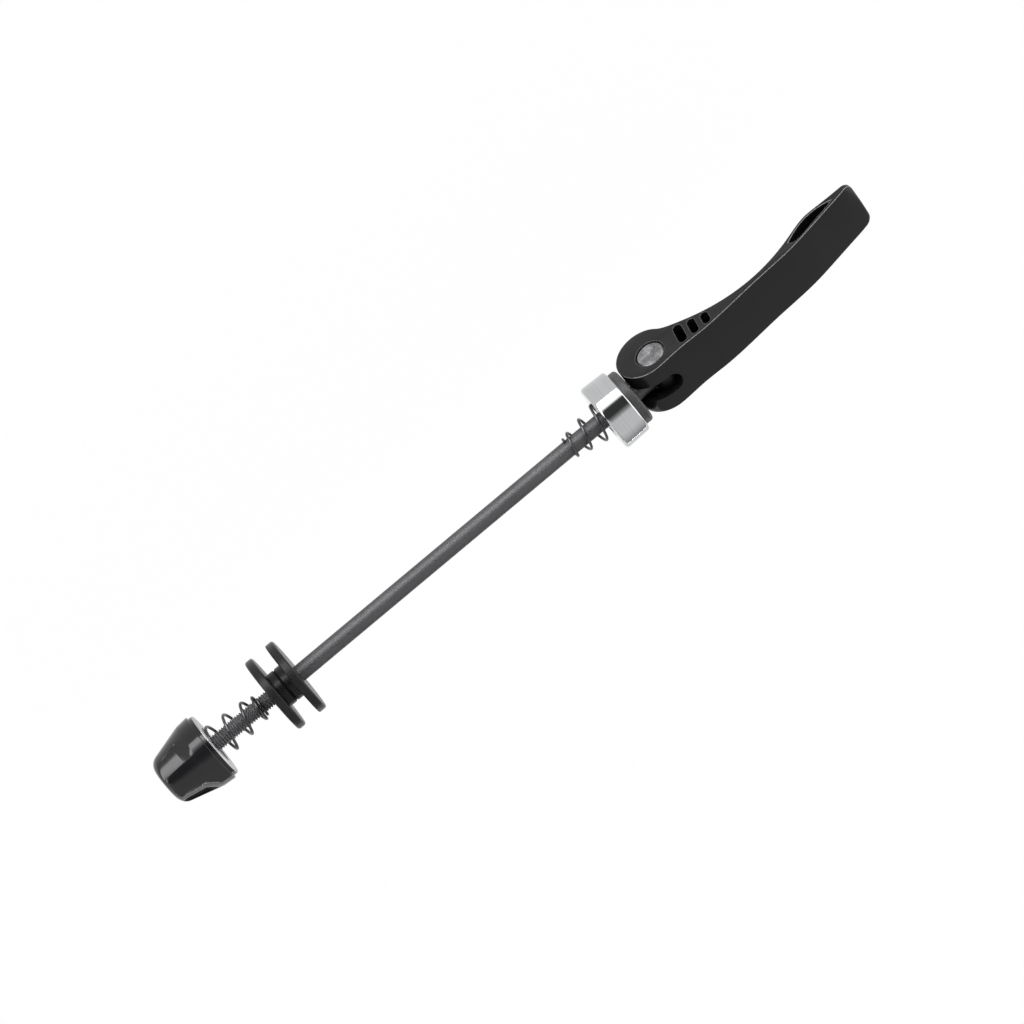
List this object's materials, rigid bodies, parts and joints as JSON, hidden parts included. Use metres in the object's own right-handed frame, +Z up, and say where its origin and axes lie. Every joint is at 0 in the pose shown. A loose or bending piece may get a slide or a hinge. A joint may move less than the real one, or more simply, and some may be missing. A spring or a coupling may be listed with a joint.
{
  "type": "quick release skewer",
  "caption": "Bicycle wheel quick release skewer: open cam lever, clamp cup, threaded rod, transport spool, conical springs and a fluted nut.",
  "frame": {"origin": "centre of the cup's clamp face, on the rod's axis", "axes": "+X along the rod from the cup to the nut, +Z up as the skewer lies on a bench, the lever points to -X half way through its swing"},
  "size_m": [0.2545, 0.024, 0.024],
  "materials": {
    "lever_black": "semi-gloss",
    "plated_cup": "polished",
    "dark_rod": "satin",
    "barrel_steel": "satin",
    "saddle_plastic": "matte",
    "spring_steel": "satin",
    "spool_black": "semi-gloss",
    "nut_black": "glossy",
    "insert_steel": "satin",
    "lock_nylon": "matte"
  },
  "bodies": {
    "rod": {"skewer_rod": "dark_rod", "pivot_barrel": "barrel_steel"},
    "lever": {"lever": "lever_black"},
    "cup": {"clamp_cup": "plated_cup", "cam_saddle": "saddle_plastic", "cup_spring": "spring_steel"},
    "spool": {"inner_spool_half": "spool_black", "outer_spool_half": "spool_black"},
    "nut_carriage": {"nut_spring": "spring_steel"},
    "nut": {"nut_cap": "nut_black", "nut_insert": "insert_steel", "nut_lock_ring": "lock_nylon"}
  },
  "joints": [
    {"name": "lever_swing", "type": "hinge", "parent": "rod", "child": "lever", "pos_m": [-0.02155, 0, 0], "axis": [0, -1, 0], "range_deg": [-90, 90]},
    {"name": "clamp_stroke", "type": "slide", "parent": "rod", "child": "cup", "axis": [1, 0, 0], "range_m": [-0.00151, 0.00151]},
    {"name": "spool_slide", "type": "slide", "parent": "rod", "child": "spool", "axis": [1, 0, 0], "range_m": [-0.0965, 0.0008]},
    {"name": "nut_travel", "type": "slide", "parent": "rod", "child": "nut_carriage", "axis": [1, 0, 0], "range_m": [-0.00201, 0.00961]},
    {"name": "nut_turn", "type": "hinge", "parent": "nut_carriage", "child": "nut", "pos_m": [0.14145, 0, 0], "axis": [1, 0, 0], "range_deg": [-900, 4320]}
  ],
  "couplings": [
    {"joint": "clamp_stroke", "follows": "lever_swing", "m_per_rad": 0.00095493},
    {"joint": "nut_travel", "follows": "nut_turn", "m_per_rad": 0.00012732}
  ]
}
